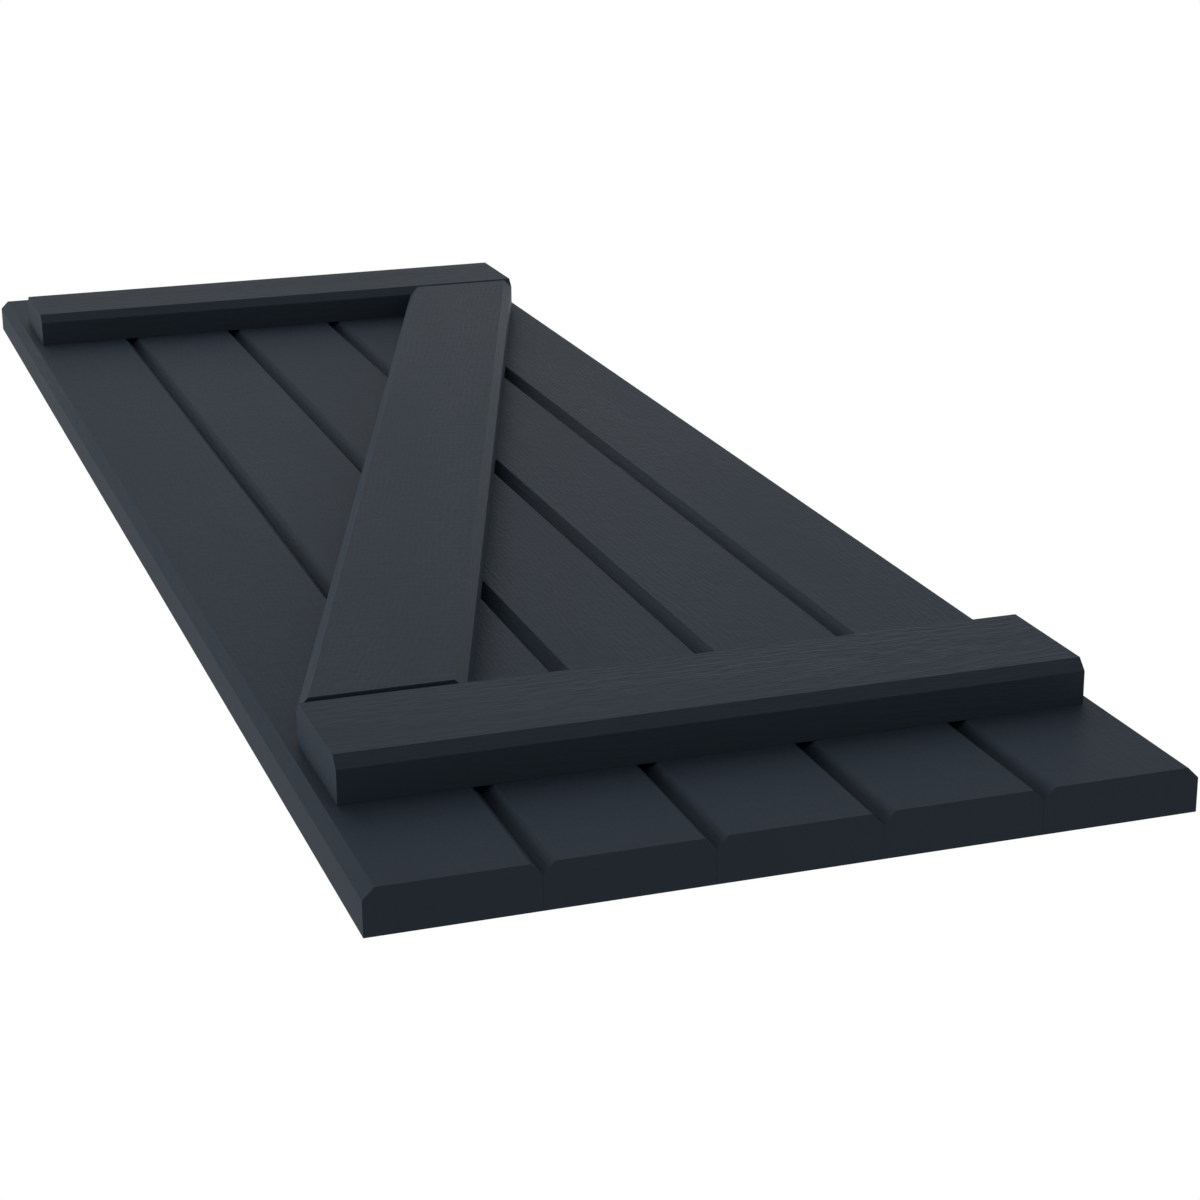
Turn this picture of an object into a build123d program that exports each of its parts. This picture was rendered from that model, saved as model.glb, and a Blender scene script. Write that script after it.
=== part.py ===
"""Board and batten shutter: upright boards, a batten across each end and a diagonal brace between them.

The shutter stands as it hangs on a wall. Its back lies in the plane Y = 0, its face looks towards -Y,
+Z is up and the origin is the middle of the back. Every timber has a flat back, square-cut ends and a
chamfer along both long edges of its face. All sizes are in millimetres.
"""

from build123d import *
import math
import os

# Upright boards, set edge to edge
BOARD_COUNT = 5
BOARD_WIDTH = 139.7
BOARD_LENGTH = 2133.6
BOARD_THICKNESS = 40.0
BOARD_CHAMFER = 9.7

# Cross battens, one near each end of the boards
BATTEN_WIDTH = 139.7
BATTEN_THICKNESS = 40.0
BATTEN_CHAMFER = 9.7
BATTEN_SIDE_MARGIN = 20.0
BATTEN_END_MARGIN = 158.0

# Diagonal brace, as thick as the battens that it is fitted between
BRACE_WIDTH = 139.7
BRACE_CHAMFER = 9.7

# Directions that the timbers share
UP = Vector(0, 0, 1)
RIGHT = Vector(1, 0, 0)
FRONT = Vector(0, -1, 0)

# Sizes and places that follow from the values above
PANEL_WIDTH = BOARD_COUNT * BOARD_WIDTH
BATTEN_LENGTH = PANEL_WIDTH - 2 * BATTEN_SIDE_MARGIN
BATTEN_HEIGHT = BOARD_LENGTH / 2 - BATTEN_END_MARGIN - BATTEN_WIDTH / 2
BAY_HEIGHT = 2 * BATTEN_HEIGHT - BATTEN_WIDTH


def timber(start, along, length, width, thickness, chamfer):
    """A square-ended timber whose back has its middle line on start and runs along the given direction.

    The section has the back at the bottom and both corners of the face chamfered.
    """
    half = width / 2
    section = [
        (-half, 0),
        (half, 0),
        (half, thickness - chamfer),
        (half - chamfer, thickness),
        (chamfer - half, thickness),
        (-half, thickness - chamfer),
    ]
    end_plane = Plane(origin=start, x_dir=FRONT.cross(along), z_dir=along)
    with BuildPart() as part:
        with BuildSketch(end_plane):
            with BuildLine():
                Polyline(*section, close=True)
            make_face()
        extrude(amount=length)
    return part.part


def board(index):
    """One upright board, counted from the left of the face."""
    middle = (index + 0.5) * BOARD_WIDTH - PANEL_WIDTH / 2
    foot = Vector(middle, 0, -BOARD_LENGTH / 2)
    return timber(foot, UP, BOARD_LENGTH, BOARD_WIDTH, BOARD_THICKNESS, BOARD_CHAMFER)


def batten(height):
    """A cross batten on the face of the boards, its middle line at the given height."""
    left_end = Vector(-BATTEN_LENGTH / 2, 0, height) + FRONT * BOARD_THICKNESS
    return timber(left_end, RIGHT, BATTEN_LENGTH, BATTEN_WIDTH, BATTEN_THICKNESS, BATTEN_CHAMFER)


def brace():
    """The diagonal, rising from lower left to upper right and cut to fit between the battens.

    Its left edge starts at the end of the bottom batten and its right edge stops at the end of the top
    one, so it leans less than the line between those two corners by the angle that its width spans.
    """
    diagonal = math.hypot(BATTEN_LENGTH, BAY_HEIGHT)
    lean = math.atan2(BATTEN_LENGTH, BAY_HEIGHT) - math.asin(BRACE_WIDTH / diagonal)
    along = Vector(math.sin(lean), 0, math.cos(lean))
    # The uncut timber runs past both battens by more than its slanting ends need.
    uncut_length = diagonal + 2 * BRACE_WIDTH
    start = FRONT * BOARD_THICKNESS - along * (uncut_length / 2)
    uncut = timber(start, along, uncut_length, BRACE_WIDTH, BATTEN_THICKNESS, BRACE_CHAMFER)
    above_bottom = split(uncut, bisect_by=Plane.XY.offset(-BAY_HEIGHT / 2), keep=Keep.TOP)
    return split(above_bottom, bisect_by=Plane.XY.offset(BAY_HEIGHT / 2), keep=Keep.BOTTOM)


def main():
    pieces = {f"board_{index + 1}": board(index) for index in range(BOARD_COUNT)}
    pieces["bottom_batten"] = batten(-BATTEN_HEIGHT)
    pieces["top_batten"] = batten(BATTEN_HEIGHT)
    pieces["brace"] = brace()
    os.makedirs("parts", exist_ok=True)
    for node, solid in pieces.items():
        export_step(solid, f"parts/{node}.step")


main()
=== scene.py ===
"""The looks of the board and batten shutter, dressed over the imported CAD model.

Everything is in metres, in the model's own frame: the back lies in Y = 0, the face looks towards -Y
and +Z is up. The CAD timbers stay as they are. They get eased arrises from modifiers, a material of
painted wood each, and the screws that hold them from behind.
"""

import collections
import math

import bpy
from mathutils import Matrix, Vector


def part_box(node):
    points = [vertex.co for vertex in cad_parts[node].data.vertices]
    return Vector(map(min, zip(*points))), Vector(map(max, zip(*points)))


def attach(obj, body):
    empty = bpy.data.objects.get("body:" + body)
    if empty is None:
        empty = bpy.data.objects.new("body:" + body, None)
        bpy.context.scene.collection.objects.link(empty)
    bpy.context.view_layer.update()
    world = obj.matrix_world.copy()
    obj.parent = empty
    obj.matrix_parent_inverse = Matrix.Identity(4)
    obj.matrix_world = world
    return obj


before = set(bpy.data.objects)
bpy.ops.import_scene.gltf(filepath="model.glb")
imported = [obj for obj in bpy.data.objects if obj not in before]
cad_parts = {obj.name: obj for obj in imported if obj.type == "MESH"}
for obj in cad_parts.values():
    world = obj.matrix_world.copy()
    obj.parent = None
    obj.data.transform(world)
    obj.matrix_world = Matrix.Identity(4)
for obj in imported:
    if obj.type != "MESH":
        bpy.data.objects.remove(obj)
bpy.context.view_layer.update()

MM = 0.001

# Timbers of the CAD model
BOARDS = ["board_1", "board_2", "board_3", "board_4", "board_5"]
BATTENS = ["bottom_batten", "top_batten"]
BOARD_WIDTH = 139.7 * MM
BRACE_WIDTH = 139.7 * MM

# Arrises of the timbers: how wide they are eased, in how many steps and from which angle on, and
# how close two corners of the imported faces have to be to be joined
ARRIS = 0.3 * MM
ARRIS_SEGMENTS = 2
ARRIS_ANGLE = math.radians(20)
JOINED_WITHIN = 0.01 * MM

# Screws from behind. Each ring has a radius and a depth under the back, from the middle of the
# recess outwards and down into the wood. The rings of the cross recess have a share of the cross's
# outline in place of the radius.
SCREW_RECESS = [(0.45, 2.4 * MM), (1.0, 0.7 * MM)]
SCREW_HEAD = [(4.9 * MM, 0.7 * MM), (5.3 * MM, 0.9 * MM),
              (2.0 * MM, 4.1 * MM), (2.0 * MM, 4.9 * MM)]
COUNTERSINK = [(7.2 * MM, -1.0 * MM), (2.2 * MM, 4.0 * MM), (2.2 * MM, 5.0 * MM)]
RECESS_CORE = 0.9 * MM
RECESS_ARM = 2.0 * MM
RECESS_ARMS = 4
RECESS_NARROWS = 4
SCREW_SIDES = 48

# A board's two screws in a batten stand this far from the middle, across and upwards. The brace's
# are given as (x, z) for the upper half, and the lower half mirrors them.
SCREW_SPREAD = 30 * MM
BRACE_SCREWS = [(0.020, 0.060), (0.120, 0.360), (0.160, 0.480), (0.240, 0.690), (0.280, 0.735)]

# Camera of the photograph: where it stands, its three axes and its lens
CAMERA_PLACE = (-0.7613, -0.8739, -2.8381)
CAMERA_RIGHT = (0.94649, 0.00777, -0.32263)
CAMERA_UP = (0.11026, -0.94733, 0.30068)
CAMERA_FORWARD = (0.3033, 0.32017, 0.8975)
CAMERA_LENS = 81.109
CAMERA_SENSOR = 36.0
CAMERA_REACH = (0.05, 200)

# Studio: soft suns as (name, direction towards the lamp, light that it gives a facing surface,
# softness in degrees)
SUNS = [
    ("high_light", (0.0, -0.62, 1.0), 0.335, 30),
    ("front_light", (0.0, -1.0, 1.0), 0.225, 50),
    ("low_light", (0.0, -1.0, -0.45), 0.03, 40),
    ("left_light", (-1.0, -0.1, 0.0), 0.72, 32),
    ("right_light", (1.0, -0.1, 0.0), 0.45, 50),
    ("back_light", (0.3, 1.0, 0.1), 0.60, 60),
]

# The room around it: the light from all sides, and how bright reflections see it. To them it is
# white at the sides and below, the ceiling is dimmer, the zenith overhead a little lighter again,
# and a panel on the right is white. Each change spreads between the two limits of its edge, in the
# upward part of the direction, or for the panel in the cosine of the angle to its middle.
AMBIENT = 0.215
CEILING = 0.40
CEILING_EDGE = (0.35, 0.65)
ZENITH = 0.51
ZENITH_EDGE = (0.72, 0.97)
PANEL_TOWARDS = (0.42, 0.10, 0.90)
PANEL_EDGE = (0.90, 0.99)

# Floor: its height, size and colour, how white its middle looks, and from where to where it fades
# into full white
FLOOR_HEIGHT = -3.1
FLOOR_SIZE = 400.0
FLOOR_COLOUR = 0.57
FLOOR_WHITE = 0.45
FLOOR_FADE = (5.0, 22.0)

# Paint, and how far the grain changes its colour and its roughness each way
PAINT = (0.0196, 0.0275, 0.0376)
PAINT_CHANGE = 0.04
PAINT_ROUGHNESS = 0.5
ROUGHNESS_CHANGE = 0.05
PAINT_SPECULAR = 0.08

# What shows under the paint, for each kind of timber: the depth of the grain, the height of the
# soft swell that planing left across it, and how strongly the grain tints the paint
Grain = collections.namedtuple("Grain", "relief swell tint")
BOARD_GRAIN = Grain(0.24 * MM, 0.50 * MM, 0.25)
BATTEN_GRAIN = Grain(0.32 * MM, 0.0, 0.5)
BRACE_GRAIN = Grain(0.20 * MM, 0.60 * MM, 0.25)

# Cuts from the log: how far its heart lies beside a timber and behind the back of the shutter, how
# much and how fast both vary from board to board, and where along the log the timbers are cut,
# beginning with the boards at 0
BOARD_HEART = (110 * MM, 25 * MM)
HEART_VARIES = 10 * MM
HEART_TURNS = (2.3, 1.7)
BATTEN_HEART_BEHIND = -10 * MM
BRACE_HEART = (160 * MM, 30 * MM)
CUT_STEP = 3.0
BATTEN_CUTS = 20.0
BRACE_CUT = 31.0

# How the heart of the log wanders and the rings wave and curl, as (waves a metre along each axis,
# reach each way, detail of the noise)
WANDER = ((2.2, 2.2, 0.9), 45 * MM, 2)
WAVE = ((22.0, 22.0, 5.0), 4 * MM, 1)
CURL = ((30.0, 30.0, 48.0), 2.25 * MM, 1)

# Growth rings: their width, and the part of it over which the late wood rises and then falls
RING_WIDTH = 4.6 * MM
LATE_WOOD_RISES = (0.35, 0.85)
LATE_WOOD_FALLS = (0.85, 1.0)

# Strokes of the brushed grain, the finest fibres, the patches in which they are stronger, and the
# swell, as waves a metre along each axis, with the limits of the noise that they use
STROKE_WAVES = (440.0, 440.0, 46.0)
STROKE_RANGE = (0.38, 0.62)
FIBRE_WAVES = (900.0, 900.0, 60.0)
PATCH_WAVES = (9.0, 9.0, 1.6)
PATCH_RANGE = (0.35, 0.65)
PATCH_LEAST = 0.4
SWELL_WAVES = (50.0, 50.0, 100.0)

# Shares of the relief that the rings, the strokes and the fibres have
RING_SHARE = 0.42
STROKE_SHARE = 0.58
FIBRE_SHARE = 0.12

# Limits of how squarely a surface looks along the grain (an end), across it (a planed edge) or to
# the front or back (a face), and the shares of the relief that ends and planed edges keep and of
# the swell that chamfers keep
ENDS = (0.5, 0.9)
END_RELIEF = 0.3
EDGES = (0.8, 1.0)
EDGE_RELIEF = 0.5
FACES = (0.75, 0.95)
CHAMFER_SWELL = 0.3

# Towards the ends of the boards the paint gets thicker, from the first height above and below the
# middle to the second, where it leaves only this share of the relief
THICK_PAINT = (0.70, 0.92)
THICK_PAINT_RELIEF = 0.5

# Tone of the paint: how much the patches count, the usual relief, and the limits of the tone
PATCH_TINT = 0.25
USUAL_RELIEF = 0.35
TONE = (-0.075, 0.375)

# Dust and painted shade beside the joints, which darken the paint in the grooves where shade
# falls: how far they reach and how much they dim the paint, and the same for the line that a joint
# draws on the back, painted shade of the gap and dust, which begins in this skin. The shutter's
# outer edges are no joints and stay clean, because the darkening ends this far from the middle.
JOINT_DUST_AND_SHADE = 9 * MM
JOINT_DUST_AND_SHADE_DIMS = 0.15
BACK_LINE_REACH = 2 * MM
BACK_LINE_DUST_AND_SHADE = 0.6
BACK_SKIN = (-2 * MM, -1 * MM)
DUST_AND_SHADE_ENDS = 2.2 * BOARD_WIDTH

# Paint on the screws: waves a metre of its film and their limits, the shares of the paint's colour,
# its roughness, and the depth of the film
FILM_WAVES = 700.0
FILM_RANGE = (0.3, 0.7)
FILM_COLOURS = (0.8, 1.3)
FILM_ROUGHNESS = (0.48, 0.38)
FILM_SPECULAR = 0.2
FILM_DEPTH = 0.05 * MM


def add_object(name, data):
    item = bpy.data.objects.new(name, data)
    bpy.context.collection.objects.link(item)
    return item


def add_camera():
    data = bpy.data.cameras.new("photo_camera")
    data.sensor_width = CAMERA_SENSOR
    data.lens = CAMERA_LENS
    data.clip_start, data.clip_end = CAMERA_REACH
    camera = add_object("photo_camera", data)
    axes = Matrix((CAMERA_RIGHT, CAMERA_UP, -Vector(CAMERA_FORWARD))).transposed()
    camera.matrix_world = Matrix.Translation(CAMERA_PLACE) @ axes.to_4x4()
    bpy.context.scene.camera = camera


class Nodes:
    """An emptied node tree and short ways to add shader nodes to it.

    A value that goes into a node is either another node's socket or a number, vector or colour.
    """

    def __init__(self, tree):
        self.tree = tree
        tree.nodes.clear()

    def add(self, kind, inputs=None, **settings):
        """Adds a node, makes its settings, and then links its inputs or sets their values."""
        node = self.tree.nodes.new(kind)
        for name, value in settings.items():
            setattr(node, name, value)
        for name, value in (inputs or {}).items():
            if isinstance(value, bpy.types.NodeSocket):
                self.tree.links.new(value, node.inputs[name])
            else:
                node.inputs[name].default_value = value
        return node

    def math(self, operation, *values):
        inputs = dict(enumerate(values))
        return self.add("ShaderNodeMath", inputs, operation=operation).outputs["Value"]

    def vector(self, operation, *values):
        """Vector mathematics. SCALE takes a vector and a number."""
        names = ("Vector", "Scale") if operation == "SCALE" else range(len(values))
        inputs = dict(zip(names, values))
        result = "Value" if operation in ("LENGTH", "DOT_PRODUCT") else "Vector"
        return self.add("ShaderNodeVectorMath", inputs, operation=operation).outputs[result]

    def axes(self, vector):
        """The X, Y and Z of a vector, by name."""
        return self.add("ShaderNodeSeparateXYZ", {"Vector": vector}).outputs

    def turned_point(self, point, turn, shift):
        """A point turned about the origin and then shifted."""
        inputs = {"Vector": point, "Rotation": turn, "Location": shift}
        return self.add("ShaderNodeMapping", inputs, vector_type="POINT").outputs["Vector"]

    def turned_direction(self, direction, turn):
        inputs = {"Vector": direction, "Rotation": turn}
        return self.add("ShaderNodeMapping", inputs, vector_type="VECTOR").outputs["Vector"]

    def noise(self, vector, waves, detail=2.0, roughness=0.5, distortion=0.0):
        """Noise with so many waves a metre along each axis."""
        inputs = {"Vector": self.vector("MULTIPLY", vector, waves), "Scale": 1.0,
                  "Detail": detail, "Roughness": roughness, "Distortion": distortion}
        return self.add("ShaderNodeTexNoise", inputs).outputs

    def sway(self, vector, waves, reach, detail):
        """A shift across the Z axis that changes from place to place, up to the reach each way."""
        span = (2 * reach, 2 * reach, 0.0)
        noise = self.noise(vector, waves, detail)["Color"]
        return self.vector("MULTIPLY_ADD", noise, span, (-reach, -reach, 0.0))

    def remap(self, value, limits, new_low, new_high, smooth=False):
        """Brings a value between two limits to the new ones, and holds it there beyond them."""
        low, high = limits
        inputs = {"Value": value, "From Min": low, "From Max": high,
                  "To Min": new_low, "To Max": new_high}
        kind = "SMOOTHSTEP" if smooth else "LINEAR"
        return self.add("ShaderNodeMapRange", inputs, interpolation_type=kind).outputs["Result"]

    def mix(self, factor, first, second):
        """A colour between two others."""
        inputs = {"Factor": factor, "A": first, "B": second}
        return self.add("ShaderNodeMix", inputs, data_type="RGBA").outputs["Result"]

    def bump(self, height, depth):
        inputs = {"Height": height, "Distance": depth, "Strength": 1.0}
        return self.add("ShaderNodeBump", inputs).outputs["Normal"]

    def painted(self, colour, roughness, specular, normal):
        inputs = {"Base Color": colour, "Roughness": roughness, "Specular IOR Level": specular,
                  "Normal": normal}
        return self.add("ShaderNodeBsdfPrincipled", inputs).outputs["BSDF"]

    def blend(self, factor, first, second):
        """A shader between two others."""
        return self.add("ShaderNodeMixShader", {0: factor, 1: first, 2: second}).outputs["Shader"]

    def put_out(self, surface, kind="ShaderNodeOutputMaterial"):
        self.add(kind, {"Surface": surface})


def new_material(name):
    """A material and its nodes, of which there are none yet."""
    material = bpy.data.materials.new(name)
    material.use_nodes = True
    return material, Nodes(material.node_tree)


def shade_of_paint(share):
    return tuple(share * channel for channel in PAINT) + (1.0,)


def joint_dust_and_shade(n, place, sides):
    """How light the paint is beside the joints of the boards: dimmer with dust and with painted
    shade, which stands for the shade in the grooves and the gaps on the back, but not on the ends."""
    axes = n.axes(place)
    half = BOARD_WIDTH / 2
    beside = n.math("PINGPONG", n.math("ADD", axes["X"], half), half)
    outside = n.math("SUBTRACT", n.math("ABSOLUTE", axes["X"]), DUST_AND_SHADE_ENDS)
    distance = n.math("MAXIMUM", beside, outside)
    # Painted shade in the grooves, with dust
    dust_and_shade = n.remap(distance, (0.0, JOINT_DUST_AND_SHADE), JOINT_DUST_AND_SHADE_DIMS, 0.0, smooth=True)
    behind = n.remap(axes["Y"], BACK_SKIN, 0.0, BACK_LINE_DUST_AND_SHADE)
    # Painted shade and dust along the joint lines on the back
    line = n.math("MULTIPLY", n.remap(distance, (0.0, BACK_LINE_REACH), 1.0, 0.0, smooth=True), behind)
    return n.math("SUBTRACT", 1.0, n.math("MULTIPLY", n.math("MAXIMUM", dust_and_shade, line), sides))


def brushed_grain(n, log):
    """The relief of the grain, from 0 to 1: growth rings and the short wavy strokes of a brush.

    The heart of the log wanders along its length, so the rings meet the face in long arcs.
    """
    bent = n.vector("ADD", n.vector("ADD", log, n.sway(log, *WAVE)), n.sway(log, *CURL))
    from_heart = n.vector("MULTIPLY", n.vector("ADD", bent, n.sway(log, *WANDER)), (1.0, 1.0, 0.0))
    age = n.math("MULTIPLY", n.vector("LENGTH", from_heart), 1 / RING_WIDTH)
    time_of_year = n.math("FRACT", age)
    late_wood = n.math("MULTIPLY", n.remap(time_of_year, LATE_WOOD_RISES, 0.0, 1.0, smooth=True),
                       n.remap(time_of_year, LATE_WOOD_FALLS, 1.0, 0.0, smooth=True))
    stroke = n.remap(n.noise(bent, STROKE_WAVES)["Fac"], STROKE_RANGE, 0.0, 1.0, smooth=True)
    return n.math("MULTIPLY_ADD", late_wood, RING_SHARE, n.math("MULTIPLY", stroke, STROKE_SHARE))


def grain_strength(n, place, towards, sides, patch, upright):
    """How much of the grain shows. The paint fills the end grain and the planed edges are smooth,
    so it is most on the faces."""
    off_edges = n.remap(n.math("ABSOLUTE", towards["X"]), EDGES, 1.0, EDGE_RELIEF)
    strength = n.math("MULTIPLY", n.remap(sides, (0.0, 1.0), END_RELIEF, 1.0), off_edges)
    strength = n.math("MULTIPLY", n.remap(patch, PATCH_RANGE, PATCH_LEAST, 1.0), strength)
    if upright:
        height = n.math("ABSOLUTE", n.axes(place)["Z"])
        thin = n.remap(height, THICK_PAINT, 1.0, THICK_PAINT_RELIEF, smooth=True)
        strength = n.math("MULTIPLY", strength, thin)
    return strength


def painted_wood(name, turn, pith, shift, kind, upright=False):
    """Satin slate paint over the grain of one timber.

    turn brings the timber's length to the grain's Z axis, pith is where the heart of the log lies
    beside that axis, shift picks another stretch of the log and kind is the Grain under the paint.
    An upright board also has thicker paint at its ends, and dust and painted shade by its joints.
    """
    material, n = new_material(name)
    coordinates = n.add("ShaderNodeTexCoord").outputs
    place = coordinates["Object"]
    log = n.turned_point(place, turn, (-pith[0], -pith[1], shift))
    towards = n.axes(n.turned_direction(coordinates["Normal"], turn))
    sides = n.remap(n.math("ABSOLUTE", towards["Z"]), ENDS, 1.0, 0.0)
    patch = n.noise(log, PATCH_WAVES, detail=3)["Fac"]

    strength = grain_strength(n, place, towards, sides, patch, upright)
    relief = n.math("MULTIPLY", brushed_grain(n, log), strength)
    surface = n.math("MULTIPLY_ADD", n.noise(log, FIBRE_WAVES)["Fac"], FIBRE_SHARE, relief)
    if kind.swell:
        waves = n.noise(log, SWELL_WAVES, roughness=0.6, distortion=1.0)["Fac"]
        swell = n.math("MULTIPLY", waves, kind.swell / kind.relief)
        flat = n.remap(n.math("ABSOLUTE", towards["Y"]), FACES, CHAMFER_SWELL, 1.0)
        surface = n.math("MULTIPLY_ADD", swell, n.math("MULTIPLY", strength, flat), surface)

    tone = n.math("MULTIPLY_ADD", n.math("SUBTRACT", relief, USUAL_RELIEF), kind.tint,
                  n.math("MULTIPLY", patch, PATCH_TINT))
    dark, light = shade_of_paint(1 - PAINT_CHANGE), shade_of_paint(1 + PAINT_CHANGE)
    colour = n.mix(n.remap(tone, TONE, 0.0, 1.0), dark, light)
    if upright:
        # Painted shade and dust darken the paint beside the joints
        colour = n.vector("SCALE", colour, joint_dust_and_shade(n, place, sides))
    roughness = n.remap(tone, TONE, PAINT_ROUGHNESS + ROUGHNESS_CHANGE,
                        PAINT_ROUGHNESS - ROUGHNESS_CHANGE)
    n.put_out(n.painted(colour, roughness, PAINT_SPECULAR, n.bump(surface, kind.relief)))
    return material


def painted_steel():
    """The same paint over steel, whose film varies a little in tone, roughness and depth."""
    material, n = new_material("screw_paint")
    place = n.add("ShaderNodeTexCoord").outputs["Object"]
    film = n.noise(place, (FILM_WAVES, FILM_WAVES, FILM_WAVES), detail=3)["Fac"]
    dark, light = (shade_of_paint(share) for share in FILM_COLOURS)
    colour = n.mix(n.remap(film, FILM_RANGE, 0.0, 1.0), dark, light)
    roughness = n.remap(film, FILM_RANGE, *FILM_ROUGHNESS)
    n.put_out(n.painted(colour, roughness, FILM_SPECULAR, n.bump(film, FILM_DEPTH)))
    return material


def middle_of(node):
    low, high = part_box(node)
    return (low + high) / 2


def ease_arrises(node):
    """Joins the faces of an imported timber and rounds its sharp edges a little."""
    weld = node.modifiers.new("joined_faces", "WELD")
    weld.merge_threshold = JOINED_WITHIN
    bevel = node.modifiers.new("eased_arrises", "BEVEL")
    bevel.width = ARRIS
    bevel.segments = ARRIS_SEGMENTS
    bevel.limit_method = "ANGLE"
    bevel.angle_limit = ARRIS_ANGLE
    bevel.harden_normals = True


def dress(name, turn, pith, shift, kind, upright=False):
    """Gives one timber of the CAD its paint and its arrises."""
    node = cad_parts[name]
    node.data.materials.clear()
    node.data.materials.append(painted_wood(name + "_paint", turn, pith, shift, kind, upright))
    ease_arrises(node)


def dress_timbers():
    """Paints each timber as if it were cut from another place of the log."""
    for index, name in enumerate(BOARDS):
        beside = BOARD_HEART[0] + HEART_VARIES * math.sin(HEART_TURNS[0] * index)
        behind = BOARD_HEART[1] + HEART_VARIES * math.cos(HEART_TURNS[1] * index)
        pith = (middle_of(name).x + (-1) ** index * beside, behind)
        dress(name, (0.0, 0.0, 0.0), pith, CUT_STEP * index, BOARD_GRAIN, upright=True)
    for index, name in enumerate(BATTENS):
        pith = (middle_of(name).z, BATTEN_HEART_BEHIND)
        cut = BATTEN_CUTS + CUT_STEP * index
        dress(name, (0.0, math.pi / 2, 0.0), pith, cut, BATTEN_GRAIN)
    low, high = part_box("brace")
    across, tall = high.x - low.x, high.z - low.z
    lean = math.atan2(across, tall) - math.asin(BRACE_WIDTH / math.hypot(across, tall))
    dress("brace", (0.0, -lean, 0.0), BRACE_HEART, BRACE_CUT, BRACE_GRAIN)


def screw_places():
    """Where the screws from behind stand: two a board in each batten, and two a board along the
    brace."""
    places = []
    for batten in BATTENS:
        height = middle_of(batten).z
        for board in BOARDS:
            middle = middle_of(board).x
            places += [(middle + side * SCREW_SPREAD, height + side * SCREW_SPREAD)
                       for side in (-1, 1)]
    return places + [(side * x, side * z) for x, z in BRACE_SCREWS for side in (-1, 1)]


def turned_mesh(name, rings, pole_depths):
    """One closed turned shape in the back at each screw place.

    Each ring has a radius for each of its sides and a depth, from the pole that faces outwards to
    the one inside the wood.
    """
    points, faces = [], []
    for number, (x, z) in enumerate(screw_places()):
        first = len(points)
        for radii, depth in rings:
            for side, radius in enumerate(radii):
                angle = 2 * math.pi * side / SCREW_SIDES + number
                points.append((x + radius * math.cos(angle), -depth, z + radius * math.sin(angle)))
        outer_pole, inner_pole = len(points), len(points) + 1
        points += [(x, -depth, z) for depth in pole_depths]
        last = outer_pole - SCREW_SIDES
        for side in range(SCREW_SIDES):
            after = (side + 1) % SCREW_SIDES
            for ring in range(first, last, SCREW_SIDES):
                below = ring + SCREW_SIDES
                faces.append((ring + side, ring + after, below + after, below + side))
            faces.append((outer_pole, first + after, first + side))
            faces.append((inner_pole, last + side, last + after))
    mesh = bpy.data.meshes.new(name)
    mesh.from_pydata(points, [], faces)
    return add_object(name, mesh)


def even_ring(radius, depth):
    return [radius] * SCREW_SIDES, depth


def cross_ring(share, depth):
    """The outline of the cross recess, scaled by a share."""
    turns = [2 * math.pi * side / SCREW_SIDES for side in range(SCREW_SIDES)]
    arms = [((1 + math.cos(RECESS_ARMS * turn)) / 2) ** RECESS_NARROWS for turn in turns]
    return [share * (RECESS_CORE + RECESS_ARM * arm) for arm in arms], depth


def add_screws():
    """Countersunk screws in the back that hold the battens and the brace, painted over with the
    rest."""
    rings = [cross_ring(*ring) for ring in SCREW_RECESS] + [even_ring(*ring) for ring in SCREW_HEAD]
    screws = turned_mesh("back_screws", rings, (SCREW_RECESS[0][1], SCREW_HEAD[-1][1]))
    screws.data.materials.append(painted_steel())
    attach(screws, "root")
    rings = [even_ring(*ring) for ring in COUNTERSINK]
    cutter = turned_mesh("countersinks", rings, (COUNTERSINK[0][1], COUNTERSINK[-1][1]))
    cutter.hide_render = True
    for name in BOARDS:
        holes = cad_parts[name].modifiers.new("countersinks", "BOOLEAN")
        holes.operation = "DIFFERENCE"
        holes.solver = "EXACT"
        holes.object = cutter


def seen_directly(n):
    """Two masks: what the camera sees itself, and what it sees itself, in a reflection or through
    glass."""
    path = n.add("ShaderNodeLightPath").outputs
    mirrored = n.math("MAXIMUM", path["Is Glossy Ray"], path["Is Transmission Ray"])
    return path["Is Camera Ray"], n.math("MAXIMUM", path["Is Camera Ray"], mirrored)


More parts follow.
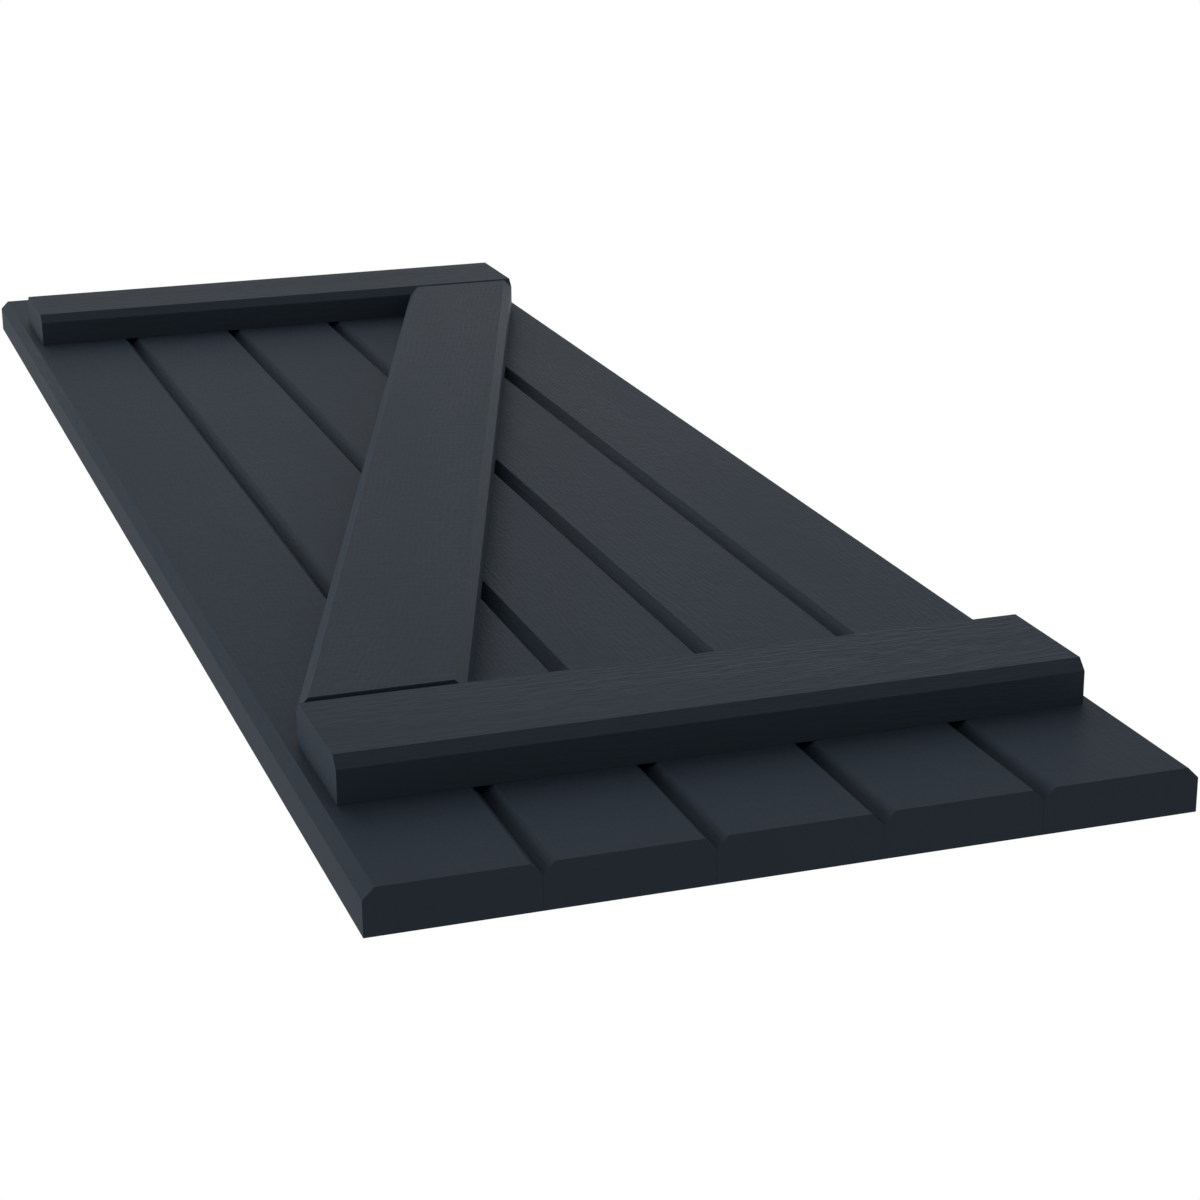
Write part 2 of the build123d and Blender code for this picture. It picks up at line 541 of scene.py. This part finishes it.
def floor_material():
    """Pale, and whiter with the distance from its middle until it is the white of the studio."""
    material, n = new_material("pale_floor")
    colour = (FLOOR_COLOUR, FLOOR_COLOUR, FLOOR_COLOUR, 1.0)
    paint = n.add("ShaderNodeBsdfDiffuse", {"Color": colour}).outputs["BSDF"]
    white = n.add("ShaderNodeEmission", {"Strength": 1.0}).outputs["Emission"]
    distance = n.vector("LENGTH", n.add("ShaderNodeTexCoord").outputs["Object"])
    whiteness = n.remap(distance, FLOOR_FADE, FLOOR_WHITE, 1.0, smooth=True)
    n.put_out(n.blend(n.math("MULTIPLY", seen_directly(n)[1], whiteness), paint, white))
    return material


def add_floor():
    """A floor well below the shutter that keeps its shadow. It throws none itself, because some of
    the light comes from below."""
    mesh = bpy.data.meshes.new("floor")
    half = FLOOR_SIZE / 2
    corners = [(x * half, y * half, FLOOR_HEIGHT) for x, y in ((-1, -1), (1, -1), (1, 1), (-1, 1))]
    mesh.from_pydata(corners, [], [(0, 1, 2, 3)])
    mesh.materials.append(floor_material())
    floor = add_object("floor", mesh)
    floor.visible_shadow = False


def add_lamps():
    for name, towards, light, softness in SUNS:
        data = bpy.data.lights.new(name, "SUN")
        data.energy = math.pi * light
        data.angle = math.radians(softness)
        lamp = add_object(name, data)
        lamp.rotation_euler = Vector(towards).to_track_quat("Z", "Y").to_euler()
        lamp.visible_glossy = False


def add_world():
    """A white studio for the camera and for reflections, and a little light from all sides.

    In reflections the ceiling is darker, least so overhead, but for a white panel high on the
    right.
    """
    world = bpy.data.worlds.new("studio")
    bpy.context.scene.world = world
    world.use_nodes = True
    world.cycles.sampling_method = "NONE"
    n = Nodes(world.node_tree)
    camera, seen = seen_directly(n)
    towards = n.add("ShaderNodeTexCoord").outputs["Generated"]
    upwards = n.axes(towards)["Z"]
    ceiling = n.math("MAXIMUM", n.remap(upwards, CEILING_EDGE, 1.0, CEILING, smooth=True),
                     n.remap(upwards, ZENITH_EDGE, 0.0, ZENITH, smooth=True))
    to_panel = n.vector("DOT_PRODUCT", towards, PANEL_TOWARDS)
    panel = n.remap(to_panel, PANEL_EDGE, 0.0, 1.0, smooth=True)
    brightness = n.math("MAXIMUM", camera, n.math("MAXIMUM", ceiling, panel))
    ambient, studio = (
        n.add("ShaderNodeBackground", {"Color": (1.0, 1.0, 1.0, 1.0), "Strength": strength})
        for strength in (AMBIENT, brightness))
    n.put_out(n.blend(seen, ambient.outputs["Background"], studio.outputs["Background"]),
              "ShaderNodeOutputWorld")


add_camera()
dress_timbers()
add_screws()
add_floor()
add_lamps()
add_world()
bpy.context.scene.view_settings.view_transform = "Standard"
